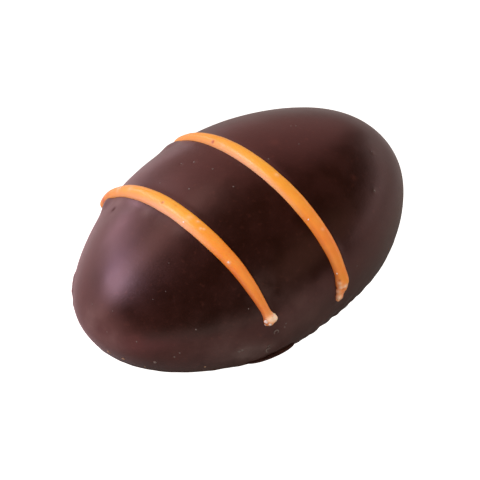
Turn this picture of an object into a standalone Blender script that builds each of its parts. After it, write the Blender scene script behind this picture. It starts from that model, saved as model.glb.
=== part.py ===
"""Oval filled chocolate: a low dark dome on a flat base, with two piped orange lines across it.

Metres, +Z up. The long side runs along X, and the lines cross it along Y. The origin is on the
flat base, under the middle of the dome. Nothing of the filling shows, so the dome is solid, and
the lines are fused to it, as the piping sets on the coating.
"""

import math

import bmesh
import bpy
from mathutils import Vector
from mathutils.bvhtree import BVHTree

MM = 0.001

# The dome
HALF_LENGTH = 20.0 * MM
HALF_WIDTH = 13.25 * MM
HEIGHT = 12.6 * MM
BELLY_HEIGHT = 2.6 * MM  # the level where the dome is widest, above the base
PLAN_POWER = 2.04  # 2 is a true ellipse, and more is squarer
TAPER = -0.031  # the width lost towards +X, as a share
SHOULDER_POWER = 2.05  # 2 is a round shoulder, and more is fuller
SHOULDER_ALONG = 0.27  # how much fuller it is at +X, and slacker at -X
SHOULDER_ACROSS = -0.18  # the same towards +Y
OUTLINE_WAVES = (  # waves round the rim, then their cosine and sine parts, as shares of the radius
    (3, -0.003, -0.003),
    (4, 0.008, -0.002),
    (5, -0.003, 0.005),
)
RIM_RADIUS = 0.4 * MM  # the rounding where the side meets the base

# The rings of the dome, from the crown down
SEGMENTS = 80
DOME_RINGS = 22
RIM_RINGS = 3
BASE_RINGS = 1

# The drip that ran out under the rim while the coating was wet
DRIP_CENTRE = Vector((-7.75, -11.87, 0.44)) * MM
DRIP_HALF_SIZE = Vector((2.1, 0.80, 0.41)) * MM
DRIP_TAIL = 1.25  # how much longer it is towards -X
DRIP_LEAD = 1.5  # the same towards +X
DRIP_TURN = math.radians(-16)  # along the rim there
DRIP_SEGMENTS = 20
DRIP_RINGS = 8

# The piped lines
LINE_SINK = 0.10 * MM  # how far the middle of a line lies below the coating
THINNING_POWER = 2.2  # 1 is an even taper from the crown to an end, and more keeps it wide longer
LINE_POINTS = 38
LINE_SIDES = 12
WELD_DISTANCE = 0.001 * MM  # joins the caps of a line to its tube
LINES = {
    # x is where a line crosses the crown, and slant and bow move it along X towards its ends.
    # The angles are those of its ends above the belly, seen from the middle of the dome. The
    # hook moves its near end along X, the lift raises its far end off the coating, and the ends
    # round off over the last two lengths.
    "line_near": {
        "x": -8.26 * MM,
        "slant": 0.21 * MM,
        "bow": 0.33 * MM,
        "hook": 0.28 * MM,
        "hook_length": 5.0 * MM,
        "near_angle": math.radians(11),
        "far_angle": math.radians(4),
        "far_lift": 0.58 * MM,
        "near_radius": 0.38 * MM,
        "crown_radius": 0.90 * MM,
        "far_radius": 0.50 * MM,
        "near_swell": 0.65,
        "swell_from_end": 0.5 * MM,
        "near_round": 0.4 * MM,
        "far_round": 0.7 * MM,
    },
    "line_far": {
        "x": 1.42 * MM,
        "slant": 0.20 * MM,
        "bow": 0.0,
        "hook": -0.85 * MM,
        "hook_length": 3.0 * MM,
        "near_angle": math.radians(1.7),
        "far_angle": math.radians(16),
        "far_lift": 0.0,
        "near_radius": 0.64 * MM,
        "crown_radius": 0.90 * MM,
        "far_radius": 0.32 * MM,
        "near_swell": 0.18,
        "swell_from_end": 2.3 * MM,
        "near_round": 1.8 * MM,
        "far_round": 0.6 * MM,
    },
}
LIFT_POWER = 20  # how late the lift comes along the far side
END_BLUNTNESS = 0.1  # how far along its rounding a tip is cut off flat, as a share
SWELL_LENGTH = 0.7 * MM  # the length over which the piping pooled near its end

# The finishes
COATING_COLOUR = (0.040, 0.016, 0.011, 1.0)
COATING_ROUGHNESS = 0.42
LINE_COLOUR = (0.86, 0.28, 0.055, 1.0)
LINE_ROUGHNESS = 0.45
SHARP_ANGLE = math.radians(35)  # a steeper fold than this is shaded as an edge


def clear_scene():
    for obj in list(bpy.data.objects):
        bpy.data.objects.remove(obj, do_unlink=True)


def collection(name):
    made = bpy.data.collections.new(name)
    bpy.context.scene.collection.children.link(made)
    return made


def principled(name, colour, roughness):
    material = bpy.data.materials.new(name)
    material.use_nodes = True
    shader = material.node_tree.nodes["Principled BSDF"]
    shader.inputs["Base Color"].default_value = colour
    shader.inputs["Roughness"].default_value = roughness
    shader.inputs["Metallic"].default_value = 0.0
    return material


def plan_point(angle, spread):
    """A point of the oval plan. spread is 1 on its widest outline and 0 at its middle."""
    along, across = math.cos(angle), math.sin(angle)
    outline = (abs(along) ** PLAN_POWER + abs(across) ** PLAN_POWER) ** (-1 / PLAN_POWER)
    waves = sum(
        cosine * math.cos(count * angle) + sine * math.sin(count * angle)
        for count, cosine, sine in OUTLINE_WAVES
    )
    outline *= 1 + waves
    width = HALF_WIDTH * (1 + TAPER * outline * along)
    return Vector((HALF_LENGTH * along, width * across)) * outline * spread


def shoulder_power(angle):
    return SHOULDER_POWER + SHOULDER_ALONG * math.cos(angle) + SHOULDER_ACROSS * math.sin(angle)


def side_latitude(angle, height):
    """The latitude, in radians, at which the dome's side is at this height, near the base."""
    lift = (height - BELLY_HEIGHT) / (HEIGHT - BELLY_HEIGHT)
    return math.copysign(math.asin(abs(lift) ** (shoulder_power(angle) / 2)), lift)


def dome_point(angle, latitude):
    rise = math.sin(latitude)
    lift = math.copysign(abs(rise) ** (2 / shoulder_power(angle)), rise)
    plan = plan_point(angle, math.cos(latitude))
    return Vector((plan.x, plan.y, BELLY_HEIGHT + lift * (HEIGHT - BELLY_HEIGHT)))


def body_point(angle, ring):
    """Where a ring of the sphere goes: down the dome, round the rim, then in under the base."""
    rim_start = side_latitude(angle, RIM_RADIUS)
    if ring <= DOME_RINGS:
        share = ring / DOME_RINGS
        return dome_point(angle, math.pi / 2 + (rim_start - math.pi / 2) * share)
    edge = dome_point(angle, rim_start)
    turn = math.pi / 2 * min(1.0, (ring - DOME_RINGS) / RIM_RINGS)
    inset = RIM_RADIUS * (1 - math.cos(turn)) / edge.xy.length
    inward = max(0, ring - DOME_RINGS - RIM_RINGS) / (BASE_RINGS + 1)
    plan = edge.xy * (1 - inset) * (1 - inward)
    return Vector((plan.x, plan.y, RIM_RADIUS * (1 - math.sin(turn))))


def make_dome(parts, material):
    """A sphere of rings, each moved to its place down the side of the chocolate."""
    rings = DOME_RINGS + RIM_RINGS + BASE_RINGS + 1
    shape = bmesh.new()
    bmesh.ops.create_uvsphere(shape, u_segments=SEGMENTS, v_segments=rings, radius=1.0)
    for vert in shape.verts:
        height = max(-1.0, min(1.0, vert.co.z))
        ring = round(math.acos(height) / math.pi * rings)
        vert.co = body_point(math.atan2(vert.co.y, vert.co.x), ring)
    bmesh.ops.recalc_face_normals(shape, faces=shape.faces)
    mesh = bpy.data.meshes.new("filled_chocolate")
    shape.to_mesh(mesh)
    shape.free()
    mesh.materials.append(material)
    dome = bpy.data.objects.new("filled_chocolate", mesh)
    parts.objects.link(dome)
    return dome


def line_points(line, surface):
    """Points along a line, where rays from the middle of the dome come out of its surface."""
    points = []
    sweep = math.pi - line["near_angle"] - line["far_angle"]
    for step in range(LINE_POINTS):
        share = 0.5 - 0.5 * math.cos(math.pi * step / (LINE_POINTS - 1))  # closer at the ends
        angle = line["near_angle"] + sweep * share
        across = -math.cos(angle)
        hooked = max(0.0, 1 - HALF_WIDTH * sweep * share / line["hook_length"])
        x = line["x"] - line["slant"] * across + line["bow"] * across**2 + line["hook"] * hooked**2
        start = Vector((x, 0.0, BELLY_HEIGHT))
        place, normal, _, _ = surface.ray_cast(start, Vector((0.0, across, math.sin(angle))))
        lift = line["far_lift"] * max(0.0, across) ** LIFT_POWER - LINE_SINK
        points.append(place + normal * lift)
    return points


def line_radii(line, points):
    """The radius at each point: it changes from end to end, swells near one end, and rounds off."""
    run = [0.0]
    for before, after in zip(points, points[1:]):
        run.append(run[-1] + (after - before).length)
    radii = []
    for done in run:
        side = 2 * done / run[-1] - 1  # -1 at the near end, 1 at the far end
        end_radius = line["near_radius"] if side < 0 else line["far_radius"]
        thinned = (end_radius - line["crown_radius"]) * abs(side) ** THINNING_POWER
        radius = line["crown_radius"] + thinned
        from_swell = (done - line["swell_from_end"]) / SWELL_LENGTH
        radius *= 1 + line["near_swell"] * math.exp(-(from_swell**2))
        radius *= rounded_end(done / line["near_round"])
        radius *= rounded_end((run[-1] - done) / line["far_round"])
        radii.append(radius)
    return radii


def rounded_end(share):
    """The width of an end as a share of the line's, from its blunt tip back to its full width."""
    short = 1 - min(1.0, END_BLUNTNESS + share)
    return math.sqrt(1 - short**2)


def make_line(name, line, surface, material):
    """A tube along the line, made a mesh with its caps joined on, so that it can be fused."""
    points = line_points(line, surface)
    path = bpy.data.curves.new(name + "_path", "CURVE")
    path.dimensions = "3D"
    path.bevel_depth = line["crown_radius"]
    path.bevel_resolution = (LINE_SIDES - 4) // 2
    path.use_fill_caps = True
    spline = path.splines.new("POLY")
    spline.points.add(len(points) - 1)
    for slot, place, radius in zip(spline.points, points, line_radii(line, points)):
        slot.co = (*place, 1.0)
        slot.radius = radius / line["crown_radius"]
    tube = bpy.data.objects.new(name + "_path", path)
    bpy.context.scene.collection.objects.link(tube)
    bpy.context.view_layer.update()
    mesh = bpy.data.meshes.new_from_object(tube.evaluated_get(bpy.context.evaluated_depsgraph_get()))
    bpy.data.objects.remove(tube, do_unlink=True)
    joined = bmesh.new()
    joined.from_mesh(mesh)
    bmesh.ops.remove_doubles(joined, verts=joined.verts, dist=WELD_DISTANCE)
    bmesh.ops.recalc_face_normals(joined, faces=joined.faces)
    joined.to_mesh(mesh)
    joined.free()
    mesh.materials.clear()
    mesh.materials.append(material)
    return bpy.data.objects.new(name, mesh)


def make_drip(material):
    """A flattened bead lying along the rim, just clear of the level of the base."""
    bead = bmesh.new()
    bmesh.ops.create_uvsphere(
        bead, u_segments=DRIP_SEGMENTS, v_segments=DRIP_RINGS, radius=1.0
    )
    bmesh.ops.scale(bead, vec=DRIP_HALF_SIZE, verts=bead.verts)
    tail = [vert for vert in bead.verts if vert.co.x < 0]
    bmesh.ops.scale(bead, vec=(DRIP_TAIL, 1.0, 1.0), verts=tail)
    lead = [vert for vert in bead.verts if vert.co.x > 0]
    bmesh.ops.scale(bead, vec=(DRIP_LEAD, 1.0, 1.0), verts=lead)
    mesh = bpy.data.meshes.new("drip")
    bead.to_mesh(mesh)
    bead.free()
    mesh.materials.append(material)
    drip = bpy.data.objects.new("drip", mesh)
    drip.location = DRIP_CENTRE
    drip.rotation_euler.z = DRIP_TURN
    return drip


def fuse(body, extras):
    """Joins every object of the collection to the body as one solid, then removes them."""
    union = body.modifiers.new("fuse", "BOOLEAN")
    union.operation = "UNION"
    union.solver = "EXACT"
    union.operand_type = "COLLECTION"
    union.collection = extras
    union.material_mode = "TRANSFER"
    bpy.context.view_layer.update()
    graph = bpy.context.evaluated_depsgraph_get()
    fused = bpy.data.meshes.new_from_object(body.evaluated_get(graph))
    body.modifiers.clear()
    body.data = fused
    for obj in list(extras.objects):
        bpy.data.objects.remove(obj, do_unlink=True)
    bpy.data.collections.remove(extras)


def main():
    clear_scene()
    parts = collection("filled_chocolate")
    extras = collection("fused_on")
    coating = principled("dark_chocolate_coating", COATING_COLOUR, COATING_ROUGHNESS)
    piping = principled("orange_piping", LINE_COLOUR, LINE_ROUGHNESS)

    body = make_dome(parts, coating)
    shape = bmesh.new()
    shape.from_mesh(body.data)
    surface = BVHTree.FromBMesh(shape)
    shape.free()
    for name, line in LINES.items():
        extras.objects.link(make_line(name, line, surface, piping))
    extras.objects.link(make_drip(coating))

    fuse(body, extras)
    body.data.shade_smooth()
    body.data.set_sharp_from_angle(angle=SHARP_ANGLE)


main()
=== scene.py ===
# %% [markdown]
# # A filled chocolate with two piped lines
# The object is one oval chocolate, about 40 mm long. A soft centre was dipped in dark chocolate,
# and two orange lines were piped across it after the coating had set. Nothing of the centre
# shows, so all that has to be made is the coating, the piping and the small marks on both.
# The imported model comes first, because it fixes where everything is.

# %% Load the imported model
import math
import random

import bmesh
import bpy
from mathutils import Matrix, Vector, noise
from mathutils.bvhtree import BVHTree
from mathutils.kdtree import KDTree


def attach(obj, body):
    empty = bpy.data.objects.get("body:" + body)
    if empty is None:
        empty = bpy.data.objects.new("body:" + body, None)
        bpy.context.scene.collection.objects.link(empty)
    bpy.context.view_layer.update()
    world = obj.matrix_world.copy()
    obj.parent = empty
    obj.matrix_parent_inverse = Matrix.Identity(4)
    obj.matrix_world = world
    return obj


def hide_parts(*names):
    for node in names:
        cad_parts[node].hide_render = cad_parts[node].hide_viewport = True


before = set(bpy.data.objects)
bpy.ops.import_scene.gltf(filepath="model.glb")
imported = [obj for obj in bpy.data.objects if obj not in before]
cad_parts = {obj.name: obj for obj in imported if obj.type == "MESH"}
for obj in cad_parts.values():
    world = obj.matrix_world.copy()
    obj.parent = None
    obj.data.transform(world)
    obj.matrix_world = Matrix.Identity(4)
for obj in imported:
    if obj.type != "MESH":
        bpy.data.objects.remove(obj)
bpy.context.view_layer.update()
CHOCOLATE = "filled_chocolate"
BODY = "root"
MM = 0.001

# %% [markdown]
# The camera looks down at the chocolate from the slacker of its two ends. Its distance and lens
# are those of product photographs: a long lens from far away, which keeps the far end nearly as
# large as the near one. A focal length in pixels is turned into one in millimetres by the width
# of the sensor, and the small shift puts the middle of the base where the photograph has it.

# %% Camera
PHOTO_PIXELS = 480
CAMERA_AZIMUTH = math.radians(-43)
CAMERA_ELEVATION = math.radians(47)
CAMERA_DISTANCE = 200 * MM
FOCAL_PIXELS = 1892
BASE_MIDDLE_PIXEL = (242.6, 254.4)  # where the middle of the base is in the photograph
SENSOR_MM = 36.0

toward_camera = Vector((
    math.sin(CAMERA_AZIMUTH) * math.cos(CAMERA_ELEVATION),
    -math.cos(CAMERA_AZIMUTH) * math.cos(CAMERA_ELEVATION),
    math.sin(CAMERA_ELEVATION),
))
camera = bpy.data.objects.new("camera", bpy.data.cameras.new("camera"))
bpy.context.scene.collection.objects.link(camera)
bpy.context.scene.camera = camera
camera.location = toward_camera * CAMERA_DISTANCE
camera.rotation_mode = "QUATERNION"
camera.rotation_quaternion = (-toward_camera).to_track_quat("-Z", "Y")
camera.data.sensor_width = SENSOR_MM
camera.data.lens = FOCAL_PIXELS * SENSOR_MM / PHOTO_PIXELS
camera.data.shift_x = (PHOTO_PIXELS / 2 - BASE_MIDDLE_PIXEL[0]) / PHOTO_PIXELS
camera.data.shift_y = (BASE_MIDDLE_PIXEL[1] - PHOTO_PIXELS / 2) / PHOTO_PIXELS
camera.data.clip_start = 10 * MM
camera.data.clip_end = 10.0
print("lens, mm:", round(camera.data.lens, 1))

# %% [markdown]
# ## Floor and lights
# A product photograph has two backgrounds. The viewer sees a sheet so bright that it is plain
# white, while the glossy coating mirrors a table that was darker and warmer, or its foot would
# glow. One sheet can't be both, so there are two. The camera sees the glowing paper, which
# lights nothing. The chocolate sees the lit paper, which the camera doesn't. Its colour has
# painted light in it: it is lighter on the side of the window.

# %% Colours and nodes
def hex_colour(code):
    """An sRGB hex colour as the linear red, green, blue and alpha that a socket holds."""
    channels = [int(code[start:start + 2], 16) / 255 for start in (0, 2, 4)]
    linear = [c / 12.92 if c <= 0.04045 else ((c + 0.055) / 1.055) ** 2.4 for c in channels]
    return (*linear, 1.0)


def add_node(tree, kind, inputs=None, **settings):
    """Adds a node. A value in inputs is set on that socket, and a socket in it is linked."""
    node = tree.nodes.new(kind)
    for name, value in settings.items():
        setattr(node, name, value)
    for name, value in (inputs or {}).items():
        if isinstance(value, bpy.types.NodeSocket):
            tree.links.new(value, node.inputs[name])
        else:
            node.inputs[name].default_value = value
    return node


def add_range(tree, value, source, target=(0.0, 1.0)):
    """A value with the range source stretched to the range target, and held beyond it."""
    return add_node(tree, "ShaderNodeMapRange", {
        "Value": value,
        "From Min": source[0],
        "From Max": source[1],
        "To Min": target[0],
        "To Max": target[1],
    }).outputs["Result"]


def add_mix(tree, share, first, second):
    """Two colours mixed. A Mix node has its colour sockets at 6 and 7, and their result at 2."""
    mix = {0: share, 6: first, 7: second}
    return add_node(tree, "ShaderNodeMix", mix, data_type="RGBA").outputs[2]


# %% Floor
FLOOR_SIZE = 3.0
FLOOR_GAP = 0.02 * MM
PAPER_ROUGHNESS = 0.9
LIT_NEAR = hex_colour("aea39c")
LIT_FAR = hex_colour("f2d2d2")
LIT_AZIMUTH = math.radians(138)  # the side toward the window, on which painted light makes the lit paper lighter
LIT_RUN = (10 * MM, 18 * MM)  # where the paper is still the near colour, and where fully the far one
GLOWING_WHITE = hex_colour("ffffff")


def add_floor(name, height, colour, glow):
    """A sheet of paper at this height. With glow, it sends out its own light."""
    paper = bpy.data.materials.new(name)
    paper.use_nodes = True
    shader = paper.node_tree.nodes["Principled BSDF"]
    shader.inputs["Base Color"].default_value = colour
    shader.inputs["Roughness"].default_value = PAPER_ROUGHNESS
    shader.inputs["Specular IOR Level"].default_value = 0.0
    shader.inputs["Emission Color"].default_value = colour
    shader.inputs["Emission Strength"].default_value = glow
    sheet = bmesh.new()
    bmesh.ops.create_grid(sheet, x_segments=1, y_segments=1, size=FLOOR_SIZE / 2)
    bmesh.ops.translate(sheet, verts=sheet.verts, vec=(0, 0, height))
    mesh = bpy.data.meshes.new(name)
    sheet.to_mesh(mesh)
    sheet.free()
    mesh.materials.append(paper)
    floor = bpy.data.objects.new(name, mesh)
    bpy.context.scene.collection.objects.link(floor)
    return floor


def shade_toward(floor, azimuth):
    """Paints light into the paper's colour: lighter the further it lies in this direction."""
    tree = floor.data.materials[0].node_tree
    place = add_node(tree, "ShaderNodeTexCoord").outputs["Object"]
    toward = (math.cos(azimuth), math.sin(azimuth), 0.0)
    along = add_node(tree, "ShaderNodeVectorMath", {0: place, 1: toward}, operation="DOT_PRODUCT")
    share = add_range(tree, along.outputs["Value"], LIT_RUN)
    paper = add_mix(tree, share, LIT_NEAR, LIT_FAR)
    tree.links.new(paper, tree.nodes["Principled BSDF"].inputs["Base Color"])


lit_paper = add_floor("lit_paper", -FLOOR_GAP, LIT_NEAR, 0.0)
shade_toward(lit_paper, LIT_AZIMUTH)
lit_paper.visible_camera = False
glowing_paper = add_floor("glowing_paper", -2 * FLOOR_GAP, GLOWING_WHITE, 1.0)
glowing_paper.visible_diffuse = False
glowing_paper.visible_glossy = False
glowing_paper.visible_shadow = False
print("sheets of paper:", lit_paper.name, "and", glowing_paper.name)

# %% [markdown]
# The lights are soft boxes: area lights large enough, and near enough, for their mirror image
# in the coating to have no hard edge. Each one is placed by its direction from the chocolate,
# which is also where it shows up in a reflection. Most of the light is a wide window behind the
# chocolate, with a cool, bright pane that makes the long highlight on its blunt end.
# The walls of the room fill the shadows, which the orange lines need to look orange all along.
# They are kept out of reflections, as a photographer does with black cards, because mirrored
# walls would hide how dark the chocolate is.

# %% Lights
LIGHT_DISTANCE = 0.8
SOFT_BOXES = {
    # direction (azimuth, elevation) and size (across, up) in degrees, radiance, colour
    "pane_left": ((138, 37), (22, 20), 7.5, "d6e2ff"),
    "pane_middle": ((119, 33), (16, 14), 3.8, "ccd0ff"),
    "pane_right": ((104, 23), (12, 13), 3.2, "e2e0ff"),
    "pane_low": ((91, 12), (12, 14), 3.3, "f6d4f2"),
    "window_wide": ((116, 22), (76, 44), 1.12, "ffeeef"),
    "window_top": ((100, 56), (44, 18), 1.90, "ffeee4"),
    "window_edge": ((164, 10), (40, 20), 1.2, "ffe4e0"),
    "far_right": ((50, 24), (52, 44), 0.76, "ffc8c4"),
    "low_right": ((-14, 7), (62, 12), 1.06, "fff2ee"),
    "near_right": ((-55, 34), (36, 28), 0.30, "ffeac0"),
    "low_left": ((-126, 7), (80, 12), 0.68, "defff2"),
}


def direction(azimuth, elevation):
    azimuth, elevation = math.radians(azimuth), math.radians(elevation)
    across = math.cos(elevation)
    return Vector((across * math.cos(azimuth), across * math.sin(azimuth), math.sin(elevation)))


for name, (where, size, radiance, tint) in SOFT_BOXES.items():
    lamp = bpy.data.lights.new(name, "AREA")
    lamp.shape = "RECTANGLE"
    lamp.size, lamp.size_y = (2 * LIGHT_DISTANCE * math.tan(math.radians(side) / 2) for side in size)
    lamp.energy = radiance * math.pi * lamp.size * lamp.size_y
    lamp.color = hex_colour(tint)[:3]
    box = bpy.data.objects.new(name, lamp)
    bpy.context.scene.collection.objects.link(box)
    box.location = direction(*where) * LIGHT_DISTANCE
    box.rotation_mode = "QUATERNION"
    box.rotation_quaternion = (-box.location).to_track_quat("-Z", "Y")
print("soft boxes:", len(SOFT_BOXES))

# %% Room
ROOM_COLOUR = hex_colour("ffffff")
ROOM_RADIANCE = 0.80

world = bpy.data.worlds.new("room")
world.use_nodes = True
world.node_tree.nodes["Background"].inputs["Color"].default_value = ROOM_COLOUR
world.node_tree.nodes["Background"].inputs["Strength"].default_value = ROOM_RADIANCE
world.cycles_visibility.glossy = False
bpy.context.scene.world = world
bpy.context.scene.view_settings.view_transform = "Standard"
print("room:", world.name, "at radiance", ROOM_RADIANCE)

# %% [markdown]
# ## The coating
# A dipped chocolate has no drawn profile: it is an oval centre, cut or moulded, that runny
# chocolate has rounded off. Its plan is nearly an ellipse, a little blunter at one end, and its
# side is nearly a quarter ellipse, fuller at one end and slacker at the other. So the form is
# two formulas, one for the plan and one for the side. A sphere from bmesh gives the rings and
# the closed poles, and each of its points is moved to its place on that form. Sculpting would
# give the same look, but nobody could then change a size.

# %% The form of the dome
HALF_LENGTH = 20.0 * MM
HALF_WIDTH = 13.25 * MM
HEIGHT = 12.6 * MM
BELLY_HEIGHT = 2.6 * MM
PLAN_POWER = 2.04
TAPER = -0.031
SHOULDER_POWER = 2.05
SHOULDER_ALONG = 0.27
SHOULDER_ACROSS = -0.18
OUTLINE_WAVES = ((3, -0.003, -0.003), (4, 0.008, -0.002), (5, -0.003, 0.005))
RIM_RADIUS = 0.4 * MM


def plan_point(angle, spread):
    """A point of the oval plan. spread is 1 on its widest outline and 0 at its middle."""
    along, across = math.cos(angle), math.sin(angle)
    outline = (abs(along) ** PLAN_POWER + abs(across) ** PLAN_POWER) ** (-1 / PLAN_POWER)
    outline *= 1 + sum(
        cosine * math.cos(count * angle) + sine * math.sin(count * angle)
        for count, cosine, sine in OUTLINE_WAVES
    )
    width = HALF_WIDTH * (1 + TAPER * outline * along)
    return Vector((HALF_LENGTH * along, width * across)) * outline * spread


def shoulder_power(angle):
    return SHOULDER_POWER + SHOULDER_ALONG * math.cos(angle) + SHOULDER_ACROSS * math.sin(angle)


def side_latitude(angle, height):
    """The latitude at which the dome's side is at this height, near the base."""
    lift = (height - BELLY_HEIGHT) / (HEIGHT - BELLY_HEIGHT)
    return math.copysign(math.asin(abs(lift) ** (shoulder_power(angle) / 2)), lift)


def dome_point(angle, latitude):
    rise = math.sin(latitude)
    lift = math.copysign(abs(rise) ** (2 / shoulder_power(angle)), rise)
    plan = plan_point(angle, math.cos(latitude))
    return Vector((plan.x, plan.y, BELLY_HEIGHT + lift * (HEIGHT - BELLY_HEIGHT)))


print("half width of the dome, mm:", round(plan_point(math.pi / 2, 1.0).length / MM, 2))

# %% Rings of the coating
SEGMENTS = 440
DOME_RINGS = 200
RIM_RINGS = 6
BASE_RINGS = 6
RINGS = DOME_RINGS + RIM_RINGS + BASE_RINGS + 1


def ring_of(vert, rings):
    """Which ring of a unit sphere from bmesh a point is on, counted from the top."""
    return round(math.acos(max(-1.0, min(1.0, vert.co.z))) / math.pi * rings)


def coating_point(angle, ring):
    """Where a ring of the sphere goes: down the dome, round the rim, then in under the base."""
    rim_start = side_latitude(angle, RIM_RADIUS)
    if ring <= DOME_RINGS:
        return dome_point(angle, math.pi / 2 + (rim_start - math.pi / 2) * ring / DOME_RINGS)
    edge = dome_point(angle, rim_start)
    turn = math.pi / 2 * min(1.0, (ring - DOME_RINGS) / RIM_RINGS)
    inset = RIM_RADIUS * (1 - math.cos(turn)) / edge.xy.length
    inward = max(0, ring - DOME_RINGS - RIM_RINGS) / (BASE_RINGS + 1)
    plan = edge.xy * (1 - inset) * (1 - inward)
    return Vector((plan.x, plan.y, RIM_RADIUS * (1 - math.sin(turn))))


coating_shape = bmesh.new()
bmesh.ops.create_uvsphere(coating_shape, u_segments=SEGMENTS, v_segments=RINGS, radius=1.0)
for vert in coating_shape.verts:
    vert.co = coating_point(math.atan2(vert.co.y, vert.co.x), ring_of(vert, RINGS))
bmesh.ops.recalc_face_normals(coating_shape, faces=coating_shape.faces)
coating_shape.normal_update()
smooth_surface = BVHTree.FromBMesh(coating_shape)
print("coating faces:", len(coating_shape.faces))

# %% [markdown]
# ## Where the piping runs
# Each line is a thread of soft orange icing from a piping bag. Its path is where rays from the
# long axis of the dome leave the coating, so the bead lies on it, and only the near line's far
# tip stands up a little. The paths are needed before the coating's relief, because the coating
# rises a little to meet the icing.

# %% Measures of the lines
LINE_SINK = 0.10 * MM
LIFT_POWER = 20
END_BLUNTNESS = 0.1
THINNING_POWER = 2.2
END_SWELL_LENGTH = 0.7 * MM
LINE_RINGS = 560
LINE_SIDES = 48
LINES = {
    "piped_line_near": {
        "x": -8.26 * MM,
        "slant": 0.21 * MM,
        "bow": 0.33 * MM,
        "hook": 0.28 * MM,
        "hook_length": 5.0 * MM,
        "near_angle": math.radians(11),
        "far_angle": math.radians(4),
        "far_lift": 0.58 * MM,
        "near_radius": 0.38 * MM,
        "crown_radius": 0.90 * MM,
        "far_radius": 0.50 * MM,
        "near_swell": 0.65,
        "swell_from_end": 0.5 * MM,
        "near_round": 0.4 * MM,
        "far_round": 0.7 * MM,
    },
    "piped_line_far": {
        "x": 1.42 * MM,
        "slant": 0.20 * MM,
        "bow": 0.0,
        "hook": -0.85 * MM,
        "hook_length": 3.0 * MM,
        "near_angle": math.radians(1.7),
        "far_angle": math.radians(16),
        "far_lift": 0.0,
        "near_radius": 0.64 * MM,
        "crown_radius": 0.90 * MM,
        "far_radius": 0.32 * MM,
        "near_swell": 0.18,
        "swell_from_end": 2.3 * MM,
        "near_round": 1.8 * MM,
        "far_round": 0.6 * MM,
    },
}
print("lines:", list(LINES))


# %% Paths of the lines
def path_point(line, share):
    """A point of a line's path on the dome, and the dome's normal there. share is 0 at the near end."""
    sweep = math.pi - line["near_angle"] - line["far_angle"]
    angle = line["near_angle"] + sweep * share
    across = -math.cos(angle)
    hooked = max(0.0, 1 - HALF_WIDTH * sweep * share / line["hook_length"])
    x = line["x"] - line["slant"] * across + line["bow"] * across**2 + line["hook"] * hooked**2
    start = Vector((x, 0.0, BELLY_HEIGHT))
    place, normal, _, _ = smooth_surface.ray_cast(start, Vector((0.0, across, math.sin(angle))))
    lift = line["far_lift"] * max(0.0, across) ** LIFT_POWER - LINE_SINK
    return place + normal * lift, normal


def rounded_end(share):
    """The width of an end as a share of the line's, from its blunt tip back to its full width."""
    short = 1 - min(1.0, END_BLUNTNESS + share)
    return math.sqrt(1 - short**2)


def line_radius(line, done, run):
    """The radius of a line where this much of its run is done."""
    side = 2 * done / run - 1
    end_radius = line["near_radius"] if side < 0 else line["far_radius"]
    radius = line["crown_radius"] + (end_radius - line["crown_radius"]) * abs(side) ** THINNING_POWER
    from_swell = (done - line["swell_from_end"]) / END_SWELL_LENGTH
    radius *= 1 + line["near_swell"] * math.exp(-(from_swell**2))
    radius *= rounded_end(done / line["near_round"])
    return radius * rounded_end((run - done) / line["far_round"])


def line_path(line):
    """The places, the normals and the radii of a line at the rings of its bead."""
    shares = [0.5 - 0.5 * math.cos(math.pi * step / LINE_RINGS) for step in range(LINE_RINGS + 1)]
    places, normals = zip(*(path_point(line, share) for share in shares))
    run = [0.0]
    for before, after in zip(places, places[1:]):
        run.append(run[-1] + (after - before).length)
    radii = [line_radius(line, done, run[-1]) for done in run]
    radii[0] = radii[-1] = 0.0
    return places, normals, radii


paths = {name: line_path(line) for name, line in LINES.items()}
path_spots = [
    (place, radius) for places, _, radii in paths.values() for place, radius in zip(places, radii)
]
path_tree = KDTree(len(path_spots))
for index, (place, _) in enumerate(path_spots):
    path_tree.insert(place, index)
path_tree.balance()
print("widest bead, mm:", round(2 * max(radius for _, radius in path_spots) / MM, 2))

# %% [markdown]
# ## Marks
# Marks are placed by where the photograph shows them. A ray from the camera through a pixel
# meets the surface at one point, so a mark lies on it from every side. A pixel just beside the
# outline is drawn in to it. Each mark is a soft, round rise or hollow. It may also carry a
# colour, which is painted into a layer of the vertices, and which the finish then reads as an
# attribute.

# %% From a pixel of the photograph to the surface
DRAWN_IN = 0.001  # the share of its way to the middle that a pixel which misses is drawn in by
camera_turn = camera.rotation_quaternion.to_matrix()


def pixel_ray(across, down):
    """The direction in which the camera sees a pixel of the photograph."""
    right = (across - BASE_MIDDLE_PIXEL[0]) / FOCAL_PIXELS
    up = (BASE_MIDDLE_PIXEL[1] - down) / FOCAL_PIXELS
    return (camera_turn @ Vector((right, up, -1.0))).normalized()


def at_pixel(surfaces, across, down):
    """The point of the foremost surface at this pixel, drawn in if it misses, and the normal there."""
    hits = []
    while not hits:
        ray = pixel_ray(across, down)
        hits = [surface.ray_cast(camera.location, ray) for surface in surfaces]
        hits = [hit for hit in hits if hit[0] is not None]
        across += (BASE_MIDDLE_PIXEL[0] - across) * DRAWN_IN
        down += (BASE_MIDDLE_PIXEL[1] - down) * DRAWN_IN
    place, normal, _, _ = min(hits, key=lambda hit: (hit[0] - camera.location).length)
    return place, normal


# %% Marks pressed into a shape
MARK_REACH = 2.5  # radii past which a mark is too faint to matter


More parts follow.
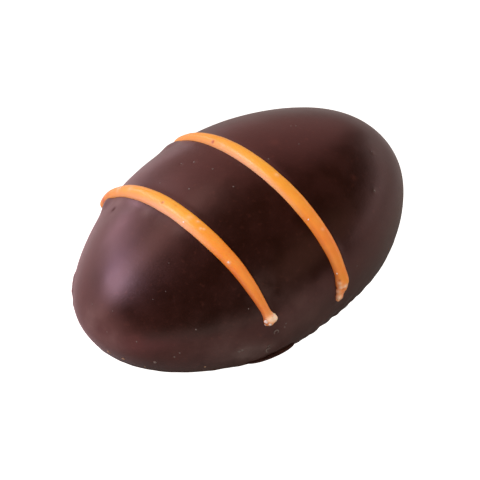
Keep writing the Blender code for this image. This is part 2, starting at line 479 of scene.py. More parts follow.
def press_marks(shape, marks, colours):
    """Paints the colours of marks into layers, and returns how far they lift each vertex."""
    layers = {colour: shape.verts.layers.float.new(colour) for colour in colours}
    shape.verts.ensure_lookup_table()
    surface = BVHTree.FromBMesh(shape)
    near = KDTree(len(shape.verts))
    for vert in shape.verts:
        near.insert(vert.co, vert.index)
    near.balance()
    rises = [0.0] * len(shape.verts)
    for across, down, radius, height, colour, strength in marks.values():
        middle, _ = at_pixel([surface], across, down)
        for _, index, distance in near.find_range(middle, radius * MM * MARK_REACH):
            share = math.exp(-((distance / (radius * MM)) ** 2))
            rises[index] += height * MM * share
            if colour:
                vert = shape.verts[index]
                vert[layers[colour]] = min(1.0, vert[layers[colour]] + strength * share)
    return rises


# %% [markdown]
# ## Relief of the coating
# Liquid chocolate leaves relief at several scales. Broad, shallow swells are where it ran off
# and set. Small hollows are burst bubbles. Along the foot the edge is ragged, because the
# chocolate was lifted off its sheet. Beside each line the coating rises in a low slope to the
# icing, and that slope catches light on one side and loses it on the other. All of it is added
# along the normals of the dome, with smooth noise measured in millimetres.

# %% Marks on the coating
COATING_COLOURS = ("bloom_and_highlight", "russet", "dull")
COATING_MARKS = {
    # pixel (across, down), radius and height in mm, colour and its strength
    "pit_under_near_line": (113.5, 209, 0.27, -0.03, "dull", 0.6),
    "hollow_round_that_pit": (112, 212, 0.7, -0.03, None, 0),
    "rim_by_near_line_tip": (108, 204, 1.0, 0.36, None, 0),
    # painted highlight: a light band on the coating just below the near line, where it mirrors the window
    "highlight_below_near_line": (118, 203, 0.7, 0.0, "bloom_and_highlight", 0.7),
    "highlight_below_near_line_left": (133, 206, 0.7, 0.0, "bloom_and_highlight", 1.0),
    "highlight_below_near_line_middle": (148, 211, 0.7, 0.0, "bloom_and_highlight", 1.0),
    "highlight_below_near_line_right": (163, 219, 0.7, 0.0, "bloom_and_highlight", 0.8),
    "highlight_below_near_line_last": (178, 229, 0.7, 0.0, "bloom_and_highlight", 0.5),
    # the grey of this rim is a painted highlight on its proud edge
    "rim_by_far_line_tip": (169, 146, 1.0, 0.28, "bloom_and_highlight", 0.3),
    "pit_between_lines": (181, 164, 0.2, -0.03, None, 0),
    "pit_by_far_line": (194, 162, 0.2, -0.03, None, 0),
    "pit_mid_left": (172, 299.5, 0.2, -0.04, None, 0),
    "hollow_low_left": (134, 341, 0.9, -0.04, "russet", 0.2),
    "pit_foot": (174.5, 356.5, 0.32, -0.05, None, 0),
    "pit_foot_right": (180, 353, 0.2, -0.05, None, 0),
    "dent_left_rim": (73.5, 269, 0.35, -0.05, None, 0),
    "bulge_left_rim": (72, 277, 0.55, 0.12, None, 0),
    "bulge_left_rim_middle": (72, 284, 0.50, 0.11, None, 0),
    "bulge_left_rim_low": (72, 291, 0.42, 0.12, None, 0),
    "notch_left_rim": (73.5, 297, 0.3, -0.08, None, 0),
    "bulge_left_rim_lowest": (73.5, 303.5, 0.4, 0.05, None, 0),
    "step_in_foot": (302, 339, 0.3, -0.05, None, 0),
    "step_in_foot_second": (310, 334.5, 0.3, -0.06, None, 0),
    "step_in_foot_third": (320, 328, 0.35, -0.07, None, 0),
    "step_in_foot_last": (333, 317.5, 0.35, -0.06, None, 0),
    "foot_before_drip": (240, 366, 0.9, 0.10, None, 0),
    "foot_over_drip_left": (255, 359, 0.8, 0.18, None, 0),
    "foot_over_drip": (265, 354.5, 0.7, 0.16, None, 0),
    "foot_over_drip_right": (275, 350, 0.7, 0.16, None, 0),
    "foot_over_drip_end": (284, 345, 0.7, 0.12, None, 0),
    "bump_right_end": (374.5, 190.5, 0.35, 0.03, "bloom_and_highlight", 0.5),
    "bump_right_end_faint": (373, 152.5, 0.3, 0.02, "bloom_and_highlight", 0.35),
    "haze_left_foot": (92, 320, 1.5, 0.0, "bloom_and_highlight", 0.9),
    "haze_left_foot_low": (112, 343, 1.5, 0.0, "bloom_and_highlight", 0.7),
    "haze_by_lower_curl": (266.5, 349, 1.1, 0.0, "bloom_and_highlight", 1.0),
    "haze_front": (244, 353, 1.0, 0.0, "bloom_and_highlight", 1.0),
    "haze_front_right": (254, 353, 0.9, 0.0, "bloom_and_highlight", 0.7),
    "haze_front_wide": (222, 353, 3.4, 0.0, "bloom_and_highlight", 0.5),
    "haze_right_of_near_line": (300, 312, 3.4, 0.0, "bloom_and_highlight", 0.45),
    "haze_between_lines": (262, 288, 1.8, 0.0, "bloom_and_highlight", 0.45),
    "haze_right": (385, 215, 3.0, 0.0, "bloom_and_highlight", 0.1),
    "russet_far": (275, 142.6, 0.45, 0.0, "russet", 0.4),
    "russet_right": (354, 178, 0.32, 0.0, "russet", 0.5),
    "russet_foot_right": (322, 322, 1.0, 0.0, "russet", 0.3),
    "russet_foot": (268, 344, 0.6, 0.0, "russet", 0.4),
    "russet_crown": (250, 118, 2.2, 0.0, "russet", 0.2),
}
print("marks on the coating:", len(COATING_MARKS))

# %% Relief of the coating
SWELL_LENGTH = 7.0 * MM
SWELL_HEIGHT = 0.07 * MM
RIPPLE_LENGTH = 2.2 * MM
RIPPLE_HEIGHT = 0.010 * MM
FOOT_HEIGHT = 2.0 * MM  # how far up the ragged foot reaches
FOOT_LENGTH = 0.9 * MM
FOOT_ROUGHNESS = 0.16 * MM
RAGGED_MIDDLE = Vector((1.0, -13.0, 0.0)) * MM  # the stretch of the foot that is raggedest
RAGGED_REACH = 6.0 * MM
RAGGED_LEAST = 0.2  # how ragged the rest of the foot is, as a share
BASE_NORMAL = -0.9  # a normal that points further down than this is on the flat base
SLOPE_WIDTH = 0.45 * MM
SLOPE_HEIGHT = 0.06 * MM


def relief(place):
    """How far the coating stands out from the smooth dome at this point, apart from its marks."""
    out = SWELL_HEIGHT * noise.noise(place / SWELL_LENGTH)
    out += RIPPLE_HEIGHT * noise.noise(place / RIPPLE_LENGTH)
    low = max(0.0, 1 - place.z / FOOT_HEIGHT)
    near = math.exp(-(((place - RAGGED_MIDDLE).length / RAGGED_REACH) ** 2))
    ragged = FOOT_ROUGHNESS * (RAGGED_LEAST + (1 - RAGGED_LEAST) * near)
    out += ragged * low * noise.noise(place / FOOT_LENGTH)
    _, index, distance = path_tree.find(place)
    beside = max(0.0, distance - path_spots[index][1]) / SLOPE_WIDTH
    return out + SLOPE_HEIGHT * math.exp(-(beside**2))


rises = press_marks(coating_shape, COATING_MARKS, COATING_COLOURS)
heights = []
for vert in coating_shape.verts:
    if vert.normal.z > BASE_NORMAL:
        heights.append(relief(vert.co) + rises[vert.index])
        vert.co += vert.normal * heights[-1]
        vert.co.z = max(0.0, vert.co.z)
coating_shape.normal_update()
coating_surface = BVHTree.FromBMesh(coating_shape)
print("relief, mm:", round(min(heights) / MM, 3), "to", round(max(heights) / MM, 3))

# %% [markdown]
# ## The finish of the coating
# Dark chocolate is a fine mix of cocoa and sugar in cocoa butter. It swallows nearly all the
# light that enters it, so most of what the eye gets is the reflection off its skin. That is soft,
# because the cocoa butter sets in crystals smaller than the eye can see. The typical index of
# refraction of cocoa butter is 1.46. It was raised to 1.7 to match how strong the reflection is,
# and its tint is a warm pink, because part of it comes from just under the skin.
# The colour isn't even. Clouds a few millimetres wide are a little redder, freckles of half a
# millimetre are cocoa that didn't grind down, and where the coating was touched or cooled too
# fast, a thin grey film of fat has come up. Cooks call that film bloom. The same grey is also
# painted in as highlights: a light band just under the near line, where the coating mirrors the
# window, and a spot on the rim beside the far line's tip.

# %% Helpers for materials
BUMP_DEPTH = 0.012 * MM
PATCH_EDGE = (0.35, 0.65)  # the noise where a patch begins, and where it is full
GLOSS_EDGE = (0.3, 0.7)  # the noise where a skin is glossiest, and where it is dullest


def start_material(name):
    """A new material, its tree, its shader, and a socket with the place on the object."""
    material = bpy.data.materials.new(name)
    material.use_nodes = True
    tree = material.node_tree
    place = add_node(tree, "ShaderNodeTexCoord").outputs["Object"]
    return material, tree, tree.nodes["Principled BSDF"], place


def add_noise(tree, place, size, detail, **more):
    """A smooth noise with features of this size, finer ones laid over it by detail."""
    inputs = {"Vector": place, "Scale": 1 / size, "Detail": detail, **more}
    return add_node(tree, "ShaderNodeTexNoise", inputs).outputs["Fac"]


def add_bump(tree, height, strength):
    """Normals that follow a height, as if it were BUMP_DEPTH deep."""
    bump = {"Height": height, "Strength": strength, "Distance": BUMP_DEPTH}
    return add_node(tree, "ShaderNodeBump", bump).outputs["Normal"]


def read_layer(tree, name):
    """What is painted in a layer of the vertices."""
    return add_node(tree, "ShaderNodeAttribute", attribute_name=name).outputs["Fac"]


# %% Dark chocolate
CHOCOLATE_DARK = hex_colour("250b02")
CHOCOLATE_RED = hex_colour("2d0f05")
FRECKLE = hex_colour("421d12")
RUSSET = hex_colour("4a2014")
BLOOM_AND_HIGHLIGHT_GREY = hex_colour("84746e")
CLOUD_SIZE = 2.6 * MM
FRECKLE_SIZE = 0.45 * MM
SKIN_GRAIN = 0.22 * MM  # the real crystals are far finer, and wouldn't show
CLOUD_EDGE = (0.38, 0.62)  # the noise where a cloud begins, and where it is full
FRECKLE_EDGE = (0.62, 0.80)
FRECKLE_COVER = (0.0, 0.5)  # the least and the most that a freckle covers
BLOOM_AND_HIGHLIGHT_COVER = (0.06, 0.26)
CHOCOLATE_ROUGHNESS = (0.29, 0.35)
CHOCOLATE_IOR = 1.7
CHOCOLATE_SHEEN = hex_colour("ffc0c0")


def dark_chocolate():
    material, tree, shader, place = start_material("dark_chocolate_dipped")
    cloud = add_noise(tree, place, CLOUD_SIZE, detail=4.0, Roughness=0.6)
    freckle = add_noise(tree, place, FRECKLE_SIZE, detail=1.0)
    skin = add_noise(tree, place, SKIN_GRAIN, detail=2.0)
    clouded = add_range(tree, cloud, CLOUD_EDGE)
    freckled = add_range(tree, freckle, FRECKLE_EDGE, FRECKLE_COVER)
    patchy = add_range(tree, cloud, PATCH_EDGE, BLOOM_AND_HIGHLIGHT_COVER)
    bloom_and_highlight = read_layer(tree, "bloom_and_highlight")
    film_and_highlight = add_node(tree, "ShaderNodeMath", {0: bloom_and_highlight, 1: patchy}, operation="MULTIPLY").outputs[0]
    base = add_mix(tree, clouded, CHOCOLATE_DARK, CHOCOLATE_RED)
    base = add_mix(tree, freckled, base, FRECKLE)
    base = add_mix(tree, read_layer(tree, "russet"), base, RUSSET)
    # grey bloom, and in places a painted highlight in the same grey
    base = add_mix(tree, film_and_highlight, base, BLOOM_AND_HIGHLIGHT_GREY)
    roughness = add_range(tree, cloud, GLOSS_EDGE, CHOCOLATE_ROUGHNESS)
    roughness = add_node(tree, "ShaderNodeMath", {0: roughness, 1: read_layer(tree, "dull")}).outputs[0]
    tree.links.new(base, shader.inputs["Base Color"])
    tree.links.new(roughness, shader.inputs["Roughness"])
    tree.links.new(add_bump(tree, skin, strength=0.5), shader.inputs["Normal"])
    shader.inputs["IOR"].default_value = CHOCOLATE_IOR
    shader.inputs["Specular Tint"].default_value = CHOCOLATE_SHEEN
    return material


chocolate_finish = dark_chocolate()
print(chocolate_finish.name, "has", len(chocolate_finish.node_tree.nodes), "nodes")

# %% Piece from a bmesh
def add_piece(name, shape, material):
    """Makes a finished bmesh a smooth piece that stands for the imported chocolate."""
    mesh = bpy.data.meshes.new(name)
    shape.to_mesh(mesh)
    shape.free()
    mesh.shade_smooth()
    mesh.materials.append(material)
    piece = bpy.data.objects.new(name, mesh)
    bpy.context.scene.collection.objects.link(piece)
    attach(piece, BODY)
    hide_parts(CHOCOLATE)
    print(name, "has", len(mesh.polygons), "faces")
    return piece


add_piece("dark_coating", coating_shape, chocolate_finish)

# %% [markdown]
# Under the near side a drip ran out before the coating set. It is a flat, pointed lobe that
# lies on the floor, so a sphere is squashed, both its halves are drawn out to points, and it is
# turned to follow the foot.

# %% Drip
DRIP_CENTRE = Vector((-7.75, -11.87, 0.44)) * MM
DRIP_HALF_SIZE = Vector((2.1, 0.80, 0.41)) * MM
DRIP_TAIL = 1.25
DRIP_LEAD = 1.5
DRIP_TURN = math.radians(-16)

drip_shape = bmesh.new()
bmesh.ops.create_uvsphere(drip_shape, u_segments=96, v_segments=32, radius=1.0)
bmesh.ops.scale(drip_shape, vec=DRIP_HALF_SIZE, verts=drip_shape.verts)
tail = [vert for vert in drip_shape.verts if vert.co.x < 0]
bmesh.ops.scale(drip_shape, vec=(DRIP_TAIL, 1.0, 1.0), verts=tail)
lead = [vert for vert in drip_shape.verts if vert.co.x > 0]
bmesh.ops.scale(drip_shape, vec=(DRIP_LEAD, 1.0, 1.0), verts=lead)
bmesh.ops.rotate(drip_shape, verts=drip_shape.verts, matrix=Matrix.Rotation(DRIP_TURN, 3, "Z"))
bmesh.ops.translate(drip_shape, verts=drip_shape.verts, vec=DRIP_CENTRE)
add_piece("drip_at_foot", drip_shape, chocolate_finish)

# %% [markdown]
# ## Grains and crumbs
# Small grains are caught in the coating and on the icing. Each is a low, uneven lump with its
# lower half sunk in. An icosphere has evenly spread faces, so a lump of 80 faces looks round
# and a noise can dent it. All grains of a kind are joined in one piece. The photograph shows
# where those on the near side are. The side that it doesn't show gets forty, at random places
# from a fixed seed.

# %% Lumps
GRAIN_LOWNESS = 0.35  # the height of a grain as a share of its radius
GRAIN_DENTS = 0.25


def add_grain(shape, place, normal, radius):
    """Adds a low lump with its middle on the surface, facing along the normal."""
    turn = normal.to_track_quat("Z", "Y").to_matrix().to_4x4()
    squash = Matrix.Diagonal((radius, radius, radius * GRAIN_LOWNESS, 1.0))
    placed = Matrix.Translation(place) @ turn @ squash
    made = bmesh.ops.create_icosphere(shape, subdivisions=2, radius=1.0, matrix=placed)
    for vert in made["verts"]:
        away = vert.co - place
        vert.co += away * GRAIN_DENTS * noise.noise(vert.co / radius)


def grains_at(spots, surfaces):
    """A bmesh with a lump where each of these pixels shows one."""
    shape = bmesh.new()
    for across, down, radius in spots.values():
        place, normal = at_pixel(surfaces, across, down)
        add_grain(shape, place, normal, radius * MM)
    return shape


# %% Grains in sight
COCOA_GRAINS = {
    # pixel (across, down) and radius in mm
    "low_left": (136.6, 341.7, 0.08),
    "foot": (155, 362.3, 0.17),
    "foot_right": (174.5, 357, 0.10),
    "foot_right_high": (179.7, 353, 0.09),
    "mid_left": (165.7, 291.5, 0.05),
    "mid_left_low": (153, 299.4, 0.05),
    "left_end": (107, 332, 0.06),
    "left_end_high": (92.3, 304, 0.06),
    "left_end_mid": (112.6, 311, 0.05),
    "middle": (169, 263, 0.05),
    "below_near_line": (248.5, 308.7, 0.07),
    "near_foot": (196, 329.6, 0.09),
    "between_lines_far": (181.4, 163.6, 0.10),
    "between_lines_far_right": (194, 162, 0.11),
    "between_lines": (189, 188.9, 0.10),
    "between_lines_left": (160, 183, 0.08),
    "between_lines_high": (212.8, 169, 0.09),
    "between_lines_mid": (233.5, 186.6, 0.09),
    "by_far_line": (268.6, 159, 0.09),
    "far_pair_left": (291, 126, 0.08),
    "far_pair_right": (296, 126, 0.08),
    "far_single": (299, 144, 0.08),
    "right_end": (374.5, 190.8, 0.13),
    "right_end_high": (371.5, 152, 0.08),
    "by_near_tip": (286, 323.5, 0.10),
    "by_near_tip_low": (284.8, 327, 0.09),
    "front_streak_left": (239, 351.6, 0.16),
    "front_streak_right": (242.5, 350.4, 0.14),
    "front_right": (357, 266, 0.08),
}
grains_shape = grains_at(COCOA_GRAINS, [coating_surface])
print("grains in sight:", len(COCOA_GRAINS))

# %% Grains on the hidden side
HIDDEN_GRAINS = 40
HIDDEN_GRAIN_RADII = (0.07, 0.14)
HIDDEN_HIGHEST = 0.98  # the sine of the latitude that no hidden grain is above
HIDDEN_CLEARANCE = 1.5 * MM  # how far they keep from the middle of a line
HIDDEN_SEED = 5

draw = random.Random(HIDDEN_SEED)
placed = 0
while placed < HIDDEN_GRAINS:
    angle = draw.uniform(0, math.tau)
    latitude = math.asin(draw.uniform(0, HIDDEN_HIGHEST))
    radius = draw.uniform(*HIDDEN_GRAIN_RADII) * MM
    place, normal, _, _ = coating_surface.find_nearest(dome_point(angle, latitude))
    clear = path_tree.find(place)[2] > HIDDEN_CLEARANCE
    if clear and normal.dot(toward_camera) < 0:
        add_grain(grains_shape, place, normal, radius)
        placed += 1
print("grains behind:", placed)

# %% [markdown]
# A grain just under the skin is covered with the same chocolate, but its thin cover has
# bloomed, so it is paler than its surroundings and less glossy.

# %% Bloomed grains
def speckled(name, grain, dark, light, roughness, ior=1.5):
    """A dull, dry material that changes between two colours over the length of a grain."""
    material, tree, shader, place = start_material(name)
    patches = add_noise(tree, place, grain, detail=2.0)
    base = add_mix(tree, patches, hex_colour(dark), hex_colour(light))
    tree.links.new(base, shader.inputs["Base Color"])
    shader.inputs["Roughness"].default_value = roughness
    shader.inputs["IOR"].default_value = ior
    return material


bloomed_finish = speckled("dark_chocolate_bloomed", FRECKLE_SIZE, "3c2a23", "7d6a62", 0.45, 1.46)
add_piece("cocoa_grains", grains_shape, bloomed_finish)

# %% [markdown]
# On the rim, chips of the thin chocolate skirt broke off and stuck. A fresh break in chocolate
# is dull and tan. The chips are low lumps like the grains, and lie along the foot.

# %% Rim chips
RIM_CHIPS = {
    # pixel (across, down) and radius in mm
    "left_upper": (108.5, 351.5, 0.17),
    "left_upper_tip": (110.3, 353, 0.1),
    "left_lower": (123.5, 358.8, 0.18),
    "left_lowest": (145, 366.8, 0.12),
    "front": (205, 366.8, 0.13),
    "right": (388.5, 249, 0.1),
}
broken_finish = speckled("chocolate_broken", SKIN_GRAIN, "6b4838", "a88569", 0.75)
chips_shape = grains_at(RIM_CHIPS, [coating_surface])
add_piece("rim_chips", chips_shape, broken_finish)

# %% [markdown]
# ## The piping
# Soft icing leaves the nozzle as a thread and sinks a little into a rounded bead before it sets.
# A curve with a bevel would make a tube, but its ends are cut flat. A sphere whose rings are
# strung along the path has its round ends built in, and so both the lines and the small curled
# marks on the coating are made that way.

# %% Beads along a path
def string_rings(shape, rings, places, ups, radii):
    """Moves the rings of a unit sphere onto a path, each turned square to it, with no face turned over."""
    for vert in shape.verts:
        step = ring_of(vert, rings)
        turn = math.atan2(vert.co.y, vert.co.x)
        ahead = places[min(step + 1, rings)] - places[max(step - 1, 0)]
        side = ahead.cross(ups[step]).normalized()
        up = side.cross(ahead).normalized()
        vert.co = places[step] + (side * math.cos(turn) + up * math.sin(turn)) * radii[step]


# %% Curled marks
CURL_RINGS = 36
CURL_SIDES = 10
CURL_THICKNESS = 0.085 * MM
CURLS = {
    # pixel (across, down), radius in mm, and the angles in degrees where the curl starts and ends
    "upper": (276.3, 332, 0.24, -60, 230),
    "lower": (268.2, 350.2, 0.24, 10, 300),
    "lower_hook": (269.5, 346.5, 0.20, 60, 190),
}

curls_shape = bmesh.new()
for across, down, radius, start, end in CURLS.values():
    place, normal = at_pixel([coating_surface], across, down)
    frame_turn = normal.to_track_quat("Z", "Y").to_matrix()
    angles = [math.radians(start + (end - start) * step / CURL_RINGS) for step in range(CURL_RINGS + 1)]
    ring = [place + frame_turn @ Vector((math.cos(a), math.sin(a), 0)) * radius * MM for a in angles]
    places = [coating_surface.find_nearest(point)[0] for point in ring]
    thickness = [CURL_THICKNESS * math.sin(math.pi * step / CURL_RINGS) ** 0.5 for step in range(CURL_RINGS)]
    curl = bmesh.new()
    bmesh.ops.create_uvsphere(curl, u_segments=CURL_SIDES, v_segments=CURL_RINGS, radius=1.0)
    string_rings(curl, CURL_RINGS, places, [normal] * (CURL_RINGS + 1), thickness + [0.0])
    joined = bpy.data.meshes.new("curl")
    curl.to_mesh(joined)
    curl.free()
    curls_shape.from_mesh(joined)
    bpy.data.meshes.remove(joined)
add_piece("curl_marks", curls_shape, bloomed_finish)

# %% [markdown]
# The bead isn't even. It wobbles slowly with the hand that piped it, and fine ridges run along
# it from the nozzle. At the near ends the thread was pinched off, which left knobs, pits and
# paler, drier icing. The same kind of marks as on the coating make those.

# %% Marks on the icing
ICING_COLOURS = ("pale_and_highlight", "deep_and_shade", "yolk_and_light", "flank_highlight")
ICING_MARKS = {
    # pixel (across, down), radius and height in mm, colour and its strength
    "piped_line_near": {
        "hollow_under_far_tip": (110, 202.5, 0.45, -0.15, None, 0),
        "deep_at_far_tip": (103, 200, 0.55, 0.0, "deep_and_shade", 0.5),
        "deep_by_far_tip": (108, 193.5, 0.50, 0.0, "deep_and_shade", 0.3),
        # painted highlights: the pale and yellow marks by the far tip
        "pale_at_far_tip": (118, 189.5, 0.30, 0.02, "pale_and_highlight", 0.5),
        "yellow_highlight_at_far_tip": (125, 192.5, 0.40, 0.0, "yolk_and_light", 0.4),
        "pale_cream": (130, 188.5, 0.35, 0.0, "pale_and_highlight", 0.25),
        # painted shade: the deeper orange in these pits
        "pit_on_crown": (162.4, 202.4, 0.17, -0.06, "deep_and_shade", 0.7),
        "pit_faint": (176, 205.6, 0.15, -0.03, "deep_and_shade", 0.3),
        # painted highlights: the pale of these small folds
        "fold": (190, 217.5, 0.30, 0.03, "pale_and_highlight", 0.2),
        "fold_end": (198, 221.5, 0.18, 0.03, "pale_and_highlight", 0.3),
        "spot_crown": (200.6, 228.4, 0.12, 0.02, "pale_and_highlight", 0.5),
        "spot_crown_right": (204, 229, 0.12, 0.02, "pale_and_highlight", 0.5),
        "spot_middle": (228.6, 262.8, 0.17, 0.03, "pale_and_highlight", 0.6),
        "cap": (274.8, 315.5, 0.34, 0.10, "pale_and_highlight", 1.0),
        "cap_side": (275.8, 318.5, 0.34, 0.08, "pale_and_highlight", 0.7),
        "cap_lower": (271.5, 319.5, 0.36, 0.04, "pale_and_highlight", 0.7),
        "cap_left": (267.0, 320.0, 0.26, 0.03, "pale_and_highlight", 0.4),
    },
    "piped_line_far": {
        "hollow_at_far_tip": (172.5, 146, 0.5, -0.20, None, 0),
        # painted shade: the deeper orange in this pit
        "pit_at_far_end": (212.8, 141.8, 0.18, -0.06, "deep_and_shade", 1.0),
        "pale_by_that_pit": (222, 144.5, 0.25, 0.02, "pale_and_highlight", 0.15),
        # painted highlights: the pale of these small folds
        "fold_crown": (277, 174.8, 0.22, 0.03, "pale_and_highlight", 0.25),
        "fold_low": (322.7, 229, 0.16, 0.02, "pale_and_highlight", 0.3),
        "right_side_low": (346.5, 294, 0.40, -0.12, None, 0),
        "yolk_low": (343, 277, 0.40, 0.0, "yolk_and_light", 0.3),
        "shoulder": (347.3, 281.5, 0.30, 0.10, "yolk_and_light", 0.3),
        "patch_upper": (339.5, 283.5, 0.20, 0.04, "pale_and_highlight", 0.7),
        "patch_middle": (340.5, 287.5, 0.22, 0.05, "pale_and_highlight", 0.8),
        "patch_right": (345.5, 286.0, 0.24, 0.05, "pale_and_highlight", 0.8),
        "patch_left": (337.5, 291.5, 0.24, 0.05, "pale_and_highlight", 0.8),
        "patch_low": (338.8, 297.5, 0.36, 0.02, "pale_and_highlight", 0.6),
        # painted shade: the deeper orange in these pits
        "pit_right": (343.7, 289.2, 0.15, -0.09, "deep_and_shade", 0.5),
        "pit_upper": (339.8, 280.5, 0.13, -0.05, "deep_and_shade", 0.6),
        "pit_left": (336.0, 288, 0.12, -0.05, "deep_and_shade", 0.4),
    },
}
print("marks on the icing:", sum(len(marks) for marks in ICING_MARKS.values()))

# %% Relief of the icing
WOBBLE_LENGTH = 1.6 * MM
WOBBLE_HEIGHT = 0.03 * MM
RIDGES = 9  # ridges round the whole bead, 0.6 mm apart on the crown
RIDGE_HEIGHT = 0.006 * MM
PINCH_LENGTH = 1.7 * MM
KNOB_LENGTH = 0.42 * MM
KNOB_HEIGHT = 0.10 * MM


def bead_relief(place, angle, from_near_tip):
    """How far the icing stands out from its round bead."""
    out = WOBBLE_HEIGHT * noise.noise(place / WOBBLE_LENGTH)
    out += RIDGE_HEIGHT * math.cos(RIDGES * angle)
    pinched = math.exp(-((from_near_tip / PINCH_LENGTH) ** 2))
    return out + KNOB_HEIGHT * pinched * noise.noise(place / KNOB_LENGTH)


# %% [markdown]
# ## The finish of the icing
# The icing is sugar, fat and orange colour. It is nearly opaque, but light does travel a
# fraction of a millimetre under its surface, red light furthest. That softens the shade along
# the foot of the bead. Its skin is about as glossy as butter. The colour drifts between orange
# and a yellower orange, and the attributes add the rest: dry, pale ends, yolk yellow on the
# crown that is partly painted light, pale painted highlights on small folds and by the near
# line's far tip, a pink painted highlight on the flank that leans to -X, painted shade on the
# near part of that flank and in the pits, and the deep orange of the far ends.

# %% Orange icing
ICING_ORANGE = hex_colour("f28429")
ICING_LIGHT = hex_colour("f48f2f")
ICING_PALE_AND_HIGHLIGHT = hex_colour("ffdab8")
ICING_YOLK_AND_LIGHT = hex_colour("e4a31e")
ICING_FLANK_HIGHLIGHT = hex_colour("eeac98")
ICING_DEEP_AND_SHADE = hex_colour("b04c18")
ICING_DRIFT = 1.3 * MM
ICING_GRAIN = 0.16 * MM
ICING_ROUGHNESS = (0.28, 0.38)
ICING_IOR = 1.52
GLOW_SHARE = 0.2  # how much of the light that comes back has been under the surface
GLOW_REACH = 0.4 * MM
GLOW_COLOURS = (1.0, 0.4, 0.15)  # how far red, green and blue go, as shares of that reach


def orange_icing():
    material, tree, shader, place = start_material("orange_icing_piped")
    drift = add_noise(tree, place, ICING_DRIFT, detail=3.0)
    grain = add_noise(tree, place, ICING_GRAIN, detail=2.0)
    base = add_mix(tree, add_range(tree, drift, PATCH_EDGE), ICING_ORANGE, ICING_LIGHT)
    painted = {"yolk_and_light": ICING_YOLK_AND_LIGHT, "flank_highlight": ICING_FLANK_HIGHLIGHT, "pale_and_highlight": ICING_PALE_AND_HIGHLIGHT, "deep_and_shade": ICING_DEEP_AND_SHADE}
    for name, colour in painted.items():
        base = add_mix(tree, read_layer(tree, name), base, colour)
    roughness = add_range(tree, grain, GLOSS_EDGE, ICING_ROUGHNESS)
    tree.links.new(base, shader.inputs["Base Color"])
    tree.links.new(roughness, shader.inputs["Roughness"])
    tree.links.new(add_bump(tree, grain, strength=0.4), shader.inputs["Normal"])
    shader.inputs["IOR"].default_value = ICING_IOR
    shader.inputs["Subsurface Weight"].default_value = GLOW_SHARE
    shader.inputs["Subsurface Radius"].default_value = GLOW_COLOURS
    shader.inputs["Subsurface Scale"].default_value = GLOW_REACH
    return material


icing_finish = orange_icing()
print(icing_finish.name, "has", len(icing_finish.node_tree.nodes), "nodes")

# %% Slow changes of colour along a line
# yellower toward the far end: partly the icing's own colour, partly painted light on the crown
YOLK_AND_LIGHT_SHARE = 0.78
YOLK_AND_LIGHT_RUN = (0.2, 0.5)  # how far along a line the icing begins to turn yellower, partly as painted light, and is fully so
DRY_SHARE = 0.2
DRY_LENGTH = 1.6 * MM
FLANK = (0.58, 1.0)  # how far a normal leans to -X where the flank's painted highlight and shade begin and are full
FLANK_HIGHLIGHT_SHARE = 0.65
FLANK_HIGHLIGHT_RUN = (0.25, 0.45)  # along the line, the flank turns from painted shade to a pink painted highlight here
FLANK_HIGHLIGHT_END = (0.92, 0.60)
# painted shade: the near part of the flank that leans to -X is darker
NEAR_FLANK_SHADE_SHARE = 0.75
NEAR_FLANK_SHADE_RUN = (0.35, 0.15)
FAR_DEEP_SHARE = 0.42
FAR_DEEP_RUN = (0.45, 0.85)


def ramp(value, start, full):
    """0 at start, 1 at full, evenly between and held beyond. start may be the larger."""
    return max(0.0, min(1.0, (value - start) / (full - start)))


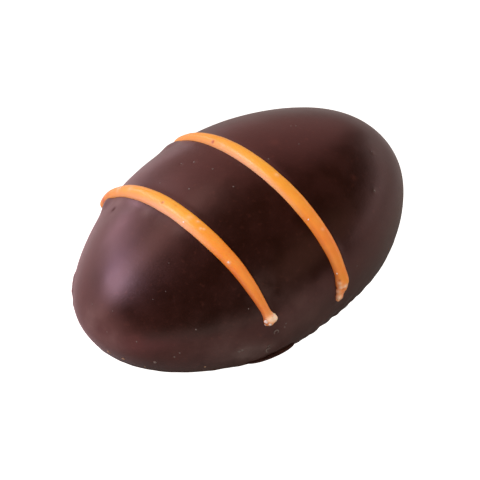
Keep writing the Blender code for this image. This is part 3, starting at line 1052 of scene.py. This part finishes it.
def paint_run(bead, shares, tip):
    """Adds the slow changes of colour: yellower far away, partly as painted light, paler at the tip, and the
    painted highlight and painted shade of the flank.
    """
    yolk_and_light = bead.verts.layers.float["yolk_and_light"]
    pale_and_highlight = bead.verts.layers.float["pale_and_highlight"]
    flank_highlight = bead.verts.layers.float["flank_highlight"]
    deep_and_shade = bead.verts.layers.float["deep_and_shade"]
    for vert, share in zip(bead.verts, shares):
        flank = ramp(-vert.normal.x, *FLANK)
        # painted highlight: pink on the flank that leans to -X
        vert[flank_highlight] = FLANK_HIGHLIGHT_SHARE * flank * ramp(share, *FLANK_HIGHLIGHT_RUN) * ramp(share, *FLANK_HIGHLIGHT_END)
        # painted shade on the near part of that flank
        near_flank_shade = NEAR_FLANK_SHADE_SHARE * flank * ramp(share, *NEAR_FLANK_SHADE_RUN)
        far_deep = FAR_DEEP_SHARE * ramp(share, *FAR_DEEP_RUN)
        vert[deep_and_shade] = min(1.0, vert[deep_and_shade] + near_flank_shade + far_deep)
        # yellower far away, partly painted light
        vert[yolk_and_light] = min(1.0, vert[yolk_and_light] + YOLK_AND_LIGHT_SHARE * ramp(share, *YOLK_AND_LIGHT_RUN))
        dry = math.exp(-(((vert.co - tip).length / DRY_LENGTH) ** 2))
        vert[pale_and_highlight] = min(1.0, vert[pale_and_highlight] + DRY_SHARE * dry)


# %% Line pieces
bead_surfaces = []
for name, (places, normals, radii) in paths.items():
    bead = bmesh.new()
    bmesh.ops.create_uvsphere(bead, u_segments=LINE_SIDES, v_segments=LINE_RINGS, radius=1.0)
    angles = [math.atan2(vert.co.y, vert.co.x) for vert in bead.verts]
    shares = [0.5 - 0.5 * vert.co.z for vert in bead.verts]
    string_rings(bead, LINE_RINGS, places, normals, radii)
    bead.normal_update()
    rises = press_marks(bead, ICING_MARKS[name], ICING_COLOURS)
    paint_run(bead, shares, places[0])
    for vert, angle in zip(bead.verts, angles):
        from_near_tip = (vert.co - places[0]).length
        vert.co += vert.normal * (bead_relief(vert.co, angle, from_near_tip) + rises[vert.index])
    bead_surfaces.append(BVHTree.FromBMesh(bead))
    add_piece(name, bead, icing_finish)

# %% [markdown]
# Where the near line ends, a few dry crumbs of icing lie at its tip, and single sugar grains
# stick to both lines. They are the same low lumps as the grains of the coating.

# %% Crumbs of icing
ICING_CRUMBS = {
    # pixel (across, down) and radius in mm
    "tip_left": (266.0, 321.9, 0.21),
    "tip_left_low": (265.2, 325.0, 0.11),
    "tip_low": (270.3, 324.6, 0.17),
    "near_line_far_tip": (120.6, 187.4, 0.10),
    "near_line_edge": (183.4, 222.2, 0.10),
    "near_line_middle": (228.4, 262.3, 0.09),
    "far_line_edge": (308.4, 219.6, 0.08),
    "far_line_near_end": (337, 273.6, 0.09),
}
dry_finish = speckled("icing_crumb_dry", ICING_GRAIN, "d8b2a2", "f6e4dc", 0.6)
crumbs_shape = grains_at(ICING_CRUMBS, bead_surfaces + [coating_surface])
add_piece("icing_crumbs", crumbs_shape, dry_finish)
